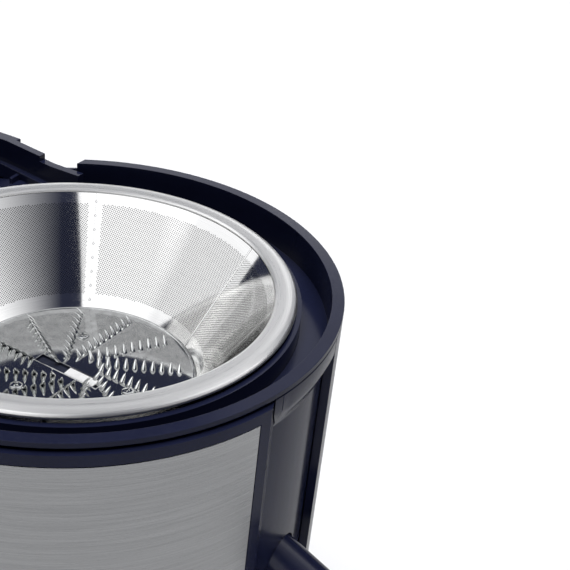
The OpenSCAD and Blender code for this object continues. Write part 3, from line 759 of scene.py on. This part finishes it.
def seam(cone, name, angle):
    """A raised line up the sieve, where two panels of its sheet are joined."""
    steps = 24
    profile = ((-1, -0.4), (-0.8, 0.5), (-0.4, 0.9), (0, 1), (0.4, 0.9), (0.8, 0.5), (1, -0.4))
    vertices = []
    for k in range(steps + 1):
        share = k / steps
        radius = (cone.low + (cone.top - cone.low) * share) * cone.sine
        half = math.degrees(SEAM_WIDTH / 2 / radius)
        vertices += [cone.spot(angle + half * side, share, height * SEAM_LIFT) for side, height in profile]
    n = len(profile)
    solid(name, vertices, bands(steps + 1, n) + caps(steps + 1, n), "sieve")


def weld_spots(cone, name, angle):
    """Small round dimples down the middle of a plain band, where the sheet is welded to its neighbour."""
    rings = ((0.55, 0.01), (0.42, 0.09), (0.26, 0.03))
    sides = 12
    vertices, faces = [], []
    for k in range(SPOTS):
        share = FIRST_SPOT + SPOT_STEP * k
        middle = cone.spot(angle, share, 0)
        up = (cone.spot(angle, share + 0.01, 0) - middle).normalized()
        out = (cone.spot(angle, share, 1) - middle).normalized()
        across = up.cross(out)
        first = len(vertices)
        for radius, lift in rings:
            for i in range(sides):
                turn = math.tau * i / sides
                around = across * math.cos(turn) + up * math.sin(turn)
                vertices.append(middle + around * radius * MM + out * lift * MM)
        faces += bands(len(rings), sides, first)
        faces.append(tuple(range(len(vertices) - sides, len(vertices))))
    mesh = bpy.data.meshes.new(name)
    mesh.from_pydata(vertices, [], faces)
    piece(name, mesh, "sieve", smooth=60)


def sieve():
    """Six panels, welded at three plain bands and seamed between them."""
    cone = Cone()
    for k in range(WELDS):
        weld = WELD_AT + WELD_TURN * k
        right = Panel(cone, weld, weld + SEAM_TURN, WELD_BAND, 0).build(f"sieve_right_{k + 1}")
        Panel(cone, weld + SEAM_TURN, weld + WELD_TURN, 0, WELD_BAND).build(f"sieve_left_{k + 1}")
        seam(cone, f"sieve_seam_{k + 1}", weld + SEAM_TURN)
        weld_spots(cone, f"weld_spots_{k + 1}", weld)
        if k == 0:
            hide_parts("sieve")


# ---- Grater disc ----

# The slot's turn (degrees) and its west, south, east and north edges.
SLOT_TURN = -3
SLOT = (-15.7, -4.2, 12.3, 0.3)
BLADE_WEST = -2.4
BLADE_EAST = 10.3

ROWS = 12
ROW_TURN = 27
ROW_SHIFT = 4.5
TEETH = 10
FIRST_TOOTH = 7.3
TOOTH_PITCH = 3.2
# The row that crosses the slot starts beyond it.
SLOT_ROW = 5
SLOT_ROW_STARTS = 3
TOOTH_BASE = 1.15
TOOTH_WIDTH = 1.05
TOOTH_TIP = 1.9
TOOTH_HEIGHT = 3.2
TOOTH_SHEET = 0.28

# A tooth's shell: its rings, the steps and the degrees that each goes round, how far its foot is sunk into
# the disc, and the powers by which it narrows, leans and rises towards its tip.
SHELL_RINGS = 7
SHELL_STEPS = 8
SHELL_TURN = 210
SHELL_SUNK = 0.08
NARROWS, LEANS, RISES = 0.65, 1.15, 0.9

# The opening under a tooth: how far its middle is ahead of the tooth's, and its half length and half width.
OPENING_AHEAD = 0.25
OPENING_LONG = 0.75
OPENING_WIDE = 0.5
OPENING_SIDES = 10

SCREWS = 3
SCREW_RING = 22
SCREW_SIDES = 48
# The screw heads' cross: the length and width of its arms, its depth and its turns.
CROSS = (2.7, 0.64, 0.7)
CROSS_LIFT = 0.5
CROSS_TURNS = (20, 110)


def on_disc(x, y, lift=0.0):
    """The point at x and y (mm) from the rotor's axis, lifted off the disc."""
    return place(x, y, lift - DISC_DROP)


def by_slot(x, y):
    """Plan coordinates (mm) of a point given along and across the slot."""
    turn = math.radians(SLOT_TURN)
    return (x * math.cos(turn) - y * math.sin(turn), x * math.sin(turn) + y * math.cos(turn))


def tooth_places():
    """Each tooth's place on the disc and the direction of its tip, row by row."""
    places = []
    for row in range(ROWS):
        turn = math.radians(ROW_TURN + 360 / ROWS * row)
        along = Vector((math.cos(turn), math.sin(turn)))
        left = Vector((-along.y, along.x))
        for k in range(SLOT_ROW_STARTS if row == SLOT_ROW else 0, TEETH):
            places.append((along * (FIRST_TOOTH + TOOTH_PITCH * k) + left * ROW_SHIFT, left))
    return places


def tooth_shell(middle, tip, base, width, reach, height):
    """Rings of points from a tooth's rounded foot to its tip, open on the side the tip leans to."""
    side = Vector((-tip.y, tip.x))
    rings = []
    for step in range(SHELL_RINGS):
        t = step / SHELL_RINGS
        shrink = (1 - t) ** NARROWS
        ring = []
        for k in range(SHELL_STEPS + 1):
            turn = math.radians(SHELL_TURN * (k / SHELL_STEPS - 0.5))
            forward = reach * t ** LEANS - base * math.cos(turn) * shrink
            spot = middle + tip * forward + side * (width * math.sin(turn) * shrink)
            ring.append(on_disc(spot.x, spot.y, height * t ** RISES - SHELL_SUNK))
        rings.append(ring)
    return rings


def add_skin(vertices, faces, rings, apex):
    """Adds one side of a tooth's sheet, from its open rings to its tip, and returns its first point."""
    first, n = len(vertices), len(rings[0])
    for ring in rings:
        vertices.extend(ring)
    vertices.append(apex)
    for r in range(len(rings) - 1):
        a = first + r * n
        faces.extend((a + k, a + k + 1, a + n + k + 1, a + n + k) for k in range(n - 1))
    last = first + (len(rings) - 1) * n
    faces.extend((last + k, last + k + 1, last + n) for k in range(n - 1))
    return first


def grater_teeth():
    """Scoop teeth: half cones punched up from the disc, each with a thin shell and a sharp tip."""
    vertices, faces = [], []
    inner_tip = TOOTH_TIP + TOOTH_SHEET / 2
    inner_height = TOOTH_HEIGHT - TOOTH_SHEET
    for middle, tip in tooth_places():
        outer = tooth_shell(middle, tip, TOOTH_BASE, TOOTH_WIDTH, TOOTH_TIP, TOOTH_HEIGHT)
        inner = tooth_shell(middle, tip, TOOTH_BASE - TOOTH_SHEET, TOOTH_WIDTH - TOOTH_SHEET,
                            inner_tip, inner_height)
        a = add_skin(vertices, faces, outer, on_disc(*(middle + tip * TOOTH_TIP), TOOTH_HEIGHT))
        b = add_skin(vertices, faces, inner, on_disc(*(middle + tip * inner_tip), inner_height))
        n = len(outer[0])
        for edge in (0, n - 1):
            column = [edge + n * r for r in range(len(outer))] + [n * len(outer)]
            faces.extend((a + i, a + j, b + j, b + i) for i, j in zip(column, column[1:]))
    solid("grater_teeth", vertices, faces, "grater_disc", smooth=45)


def disc_holes():
    """Outlines cut out of the disc: its slot, and an opening under each tooth."""
    west, south, east, north = SLOT
    holes = [[by_slot(x, y) for x, y in ((west, south), (east, south), (east, north), (west, north))]]
    for middle, tip in tooth_places():
        side = Vector((-tip.y, tip.x))
        hole = []
        for k in range(OPENING_SIDES):
            around = math.tau * k / OPENING_SIDES
            forward = OPENING_AHEAD + OPENING_LONG * math.cos(around)
            sideways = OPENING_WIDE * math.sin(around)
            hole.append(tuple(middle + tip * forward + side * sideways))
        holes.append(hole)
    return holes


def contains(loop, x, y):
    """Whether a point lies inside a closed outline."""
    inside = False
    for (ax, ay), (bx, by) in zip(loop, loop[1:] + loop[:1]):
        if (ay > y) != (by > y) and x < (bx - ax) * (y - ay) / (by - ay) + ax:
            inside = not inside
    return inside


def grater_disc():
    """The disc's sheet with its slot and the openings under its teeth."""
    stops = 240
    turns = [math.tau * k / stops for k in range(stops)]
    holes = disc_holes()
    points, edges = [], []
    for loop in [[(DISC_R * math.cos(t), DISC_R * math.sin(t)) for t in turns]] + holes:
        edges += [(len(points) + k, len(points) + (k + 1) % len(loop)) for k in range(len(loop))]
        points += loop
    flat, _, triangles, origin, _, _ = delaunay_2d_cdt([Vector(p) for p in points], edges, [], 0, 1e-6)
    faces = []
    for triangle in triangles:
        if not any(contains(hole, *centroid(flat, triangle)) for hole in holes):
            faces.append(tuple(triangle))
    count = len(flat)
    faces += [tuple(k + count for k in reversed(face)) for face in faces]
    number = {sources[0]: k for k, sources in enumerate(origin) if sources}
    faces += [(number[a], number[b], number[b] + count, number[a] + count) for a, b in edges]
    vertices = [on_disc(x, y) for x, y in flat] + [on_disc(x, y, -SHEET) for x, y in flat]
    solid("grater_sheet", vertices, faces, "grater_disc", ["grater_disc"])


def slot_lip():
    """The turned-up lip round the disc's slot."""
    west, south, east, north = SLOT
    profile = ((-0.05, -SHEET), (-0.05, 0.1), (0.06, 0.16), (0.18, 0.12), (0.28, -0.05))
    vertices = []
    for out, lift in profile:
        corners = ((west - out, south - out), (east + out, south - out),
                   (east + out, north + out), (west - out, north + out))
        vertices += [on_disc(*by_slot(x, y), lift) for x, y in corners]
    solid("slot_lip", vertices, bands(len(profile), 4), "grater_disc", smooth=50)


def slot_blade():
    """The bright blade that fills one end of the disc's slot, a little higher at its back edge."""
    _, south, _, north = SLOT
    thickness = 0.25
    front, back = south + 0.6, north - 0.4
    corners = ((BLADE_WEST, front, -0.25), (BLADE_EAST, front, -0.25),
               (BLADE_EAST, back, 0.1), (BLADE_WEST, back, 0.1))
    vertices = [on_disc(*by_slot(x, y), lift - low) for low in (0, thickness) for x, y, lift in corners]
    blade = solid("slot_blade", vertices, BOX_FACES, "grater_disc")
    blade.data.materials[0] = finish_of("grater_blade")


def disc_bead():
    """A low bead round the disc, where it sits in the sieve's foot."""
    outline = fillet([(DISC_R - 1.1, -DISC_DROP - 0.2), (DISC_R - 1.0, -DISC_DROP + 0.25),
                      (DISC_R - 0.3, -DISC_DROP + 0.3), (DISC_R - 0.1, -DISC_DROP - 0.2)], 0.2)
    revolve("disc_bead", "grater_disc", outline, segments=240)


def grater_screws():
    """Three flat round screw heads, each with a cross recess and a small step at its foot."""
    outline = [(1.6, 0.62), (2.05, 0.5), (2.2, 0.3), (2.25, 0.12), (2.5, 0.1), (2.5, -0.1)]
    vertices, faces, arms = [], [], []
    for k in range(SCREWS):
        turn = WELD_TURN * k
        middle = at(SCREW_RING, WELD_AT + turn, -DISC_DROP)
        top = len(vertices)
        vertices.append(middle + Vector((0, 0, outline[0][1])) * MM)
        for radius, lift in outline:
            for i in range(SCREW_SIDES):
                around = math.tau * i / SCREW_SIDES
                offset = Vector((radius * math.cos(around), radius * math.sin(around), lift))
                vertices.append(middle + offset * MM)
        faces += [(top, top + 1 + i, top + 1 + (i + 1) % SCREW_SIDES) for i in range(SCREW_SIDES)]
        faces += bands(len(outline), SCREW_SIDES, top + 1)
        faces.append(tuple(range(len(vertices) - SCREW_SIDES, len(vertices))))
        spot = Matrix.Translation(middle + Vector((0, 0, CROSS_LIFT)) * MM)
        stretch = Matrix.Diagonal((*(size * MM for size in CROSS), 1))
        arms += [spot @ Matrix.Rotation(math.radians(arm + turn), 4, "Z") @ stretch for arm in CROSS_TURNS]
    screws = solid("screw_heads", vertices, faces, "grater_screws", ["grater_screws"])
    cut(screws, boxes("screw_cross", arms))


# ---- Body details ----

# Where the panel's frame ends (degrees), its inner radius, and how far its chamfer is turned.
FRAME_END = -11.1
FRAME_INNER_R = 88.2
CHAMFER_TURN = -60

# The chute's ledge and gusset behind the axis: plan outlines, lower and upper height, and rounding.
LEDGE = ([(-62, 60.4), (-89.5, 65.2), (-110, 65.2), (-110, 69), (-88, 69), (-62, 65)], -14, -8, 0.6)
GUSSET = ([(-77.4, 58.2), (-79.0, 58.5), (-79.6, 64.5), (-78.0, 64.2)], -18, -9, 0.3)

DIAL_MARKS = 7
DIAL_STEP = 20
MARK_OUTER = 23.3
MARK_LENGTH = 0.9
MARK_GROWTH = 0.08
MARK_WIDTH = 0.6
MARK_THICKNESS = 0.2
MARK_LIFT = 0.05

# The rounding of the edges of the large CAD nodes, in millimetres.
EDGES = {
    "pulp_ring": 0.9, "juice_bowl": 0.45, "collar": 0.35, "panel_frame": 0.4, "front_panel": 0.1,
    "rear_cover": 0.4, "motor_housing": 0.4, "pulp_container": 0.5, "spout_tube": 0.4, "speed_knob": 0.6,
    "knob_bezel": 0.4, "front_latch": 0.3, "rear_latch": 0.3, "container_handle": 1.0, "base_plate": 0.4,
    "feet": 0.6, "drip_stop": 0.3,
}


def prism(name, node, plan, low, high, rounding):
    """An upright prism over a plan outline (mm), with its upright corners and its top edge rounded."""
    outline = fillet(plan, rounding)
    n = len(outline)
    middle = Vector((sum(x for x, _ in outline), sum(y for _, y in outline))) / n
    levels = [(low, 0.0), (high - rounding, 0.0), (high - 0.3 * rounding, 0.3 * rounding), (high, rounding)]
    vertices = []
    for height, inset in levels:
        for corner in outline:
            inwards = (middle - Vector(corner)).normalized() * inset
            vertices.append(place(corner[0] + inwards.x, corner[1] + inwards.y, height))
    solid(name, vertices, bands(len(levels), n) + caps(len(levels), n), node)


def chute_ledges():
    """The low step along each wall of the chute, with a small gusset that stiffens it."""
    for side, name in ((1, "back"), (-1, "front")):
        for kind, (plan, low, high, rounding) in (("ledge", LEDGE), ("gusset", GUSSET)):
            mirrored = [(x, side * y) for x, y in plan]
            prism(f"chute_{kind}_{name}", "pulp_ring", mirrored, low, high, rounding)


def collar_tail():
    """The pointed end of the collar's band, which runs up to the chamfer of the panel's frame."""
    outline = [(87.4, -14.1), (90.4, -6.1), (90.4, -0.6), (87.4, -0.6)]
    tail = revolve("collar_tail", "collar", outline, FRAME_END - 3.5, FRAME_END + 0.8, 16)
    corner = (Matrix.Translation(place(0, 0, -8)) @ Matrix.Rotation(math.radians(FRAME_END), 4, "Z")
              @ Matrix.Translation((FRAME_INNER_R * MM, 0, 0)))
    along = Matrix.Rotation(math.radians(CHAMFER_TURN), 4, "Z")
    slab = Matrix.Translation((1.5 * MM, -4.35 * MM, 0)) @ Matrix.Diagonal((21 * MM, 9.3 * MM, 40 * MM, 1))
    cut(tail, boxes("frame_side", [corner @ along @ slab]))


def dial_marks():
    """Raised marks on the knob's bezel, from off to the fastest speed, each a little longer."""
    low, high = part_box("knob_bezel")
    face = Matrix.Translation(((low.x + high.x) / 2, low.y + (MARK_LIFT - MARK_THICKNESS / 2) * MM,
                               (low.z + high.z) / 2))
    marks = []
    for k in range(DIAL_MARKS):
        length = MARK_LENGTH + MARK_GROWTH * k
        turn = Matrix.Rotation(math.radians(DIAL_STEP * k), 4, "Y")
        reach = Matrix.Translation((0, 0, (MARK_OUTER - length / 2) * MM))
        size = Matrix.Diagonal((MARK_WIDTH * MM, MARK_THICKNESS * MM, length * MM, 1))
        marks.append(face @ turn @ reach @ size)
    dial = piece("dial_marks", boxes("dial_marks", marks), "knob_bezel")
    dial.data.materials[0] = finish_of("dial_mark")


def dress_nodes():
    """Gives every CAD node its slot's material."""
    for node, item in frame["nodes"].items():
        item.data.materials.clear()
        item.data.materials.append(finish_of(SLOT_OF[node]))


make_camera()
make_floor()
make_light()
dress_nodes()
basket_rim()
sieve()
grater_teeth()
grater_disc()
slot_lip()
slot_blade()
disc_bead()
grater_screws()
chute_ledges()
collar_tail()
dial_marks()
for soft_node, soft_width in EDGES.items():
    softened(soft_node, soft_width)
